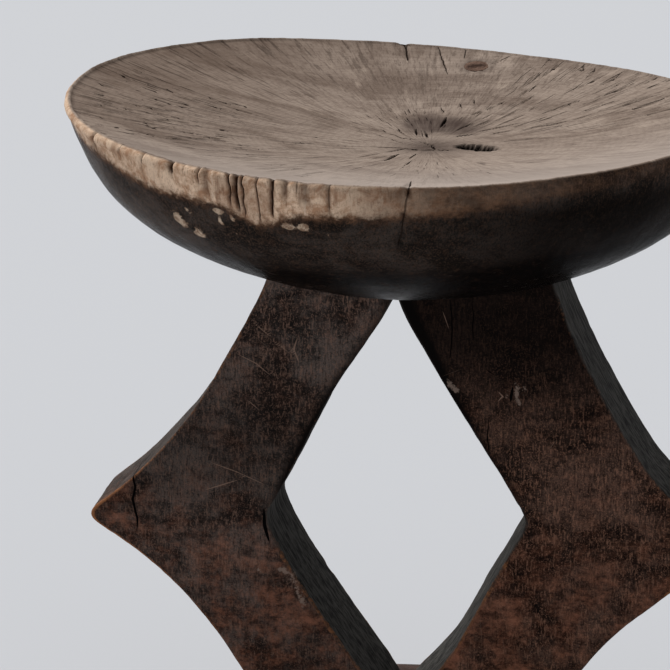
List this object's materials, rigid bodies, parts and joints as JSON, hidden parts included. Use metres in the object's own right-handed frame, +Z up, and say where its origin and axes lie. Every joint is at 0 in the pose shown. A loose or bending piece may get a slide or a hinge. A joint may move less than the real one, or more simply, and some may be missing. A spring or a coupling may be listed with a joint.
{
  "type": "headrest",
  "caption": "Carved wooden headrest: a round dished top on bent slab legs around a diamond-shaped opening, over a round domed foot.",
  "frame": {"origin": "centre of the foot's flat underside, on the surface the headrest stands on, straight below the middle of the dish", "axes": "+Z up; X runs along the plane of the two legs, from the left knee to the right knee; -Y faces the viewer"},
  "size_m": [0.17, 0.168, 0.184],
  "materials": {
    "dish_wood": "dry, worn, greyed end grain on top, darkened and rubbed to a dull gloss below",
    "knot_wood": "dry, worn end grain",
    "leg_wood": "darkened and rubbed to a dull gloss, edges worn to bare wood",
    "foot_wood": "darkened and rubbed to a dull gloss, edges worn to bare wood"
  },
  "bodies": {
    "root": {"top_dish": "dish_wood", "dish_knot": "knot_wood", "left_leg": "leg_wood", "right_leg": "leg_wood", "round_foot": "foot_wood"}
  },
  "joints": []
}
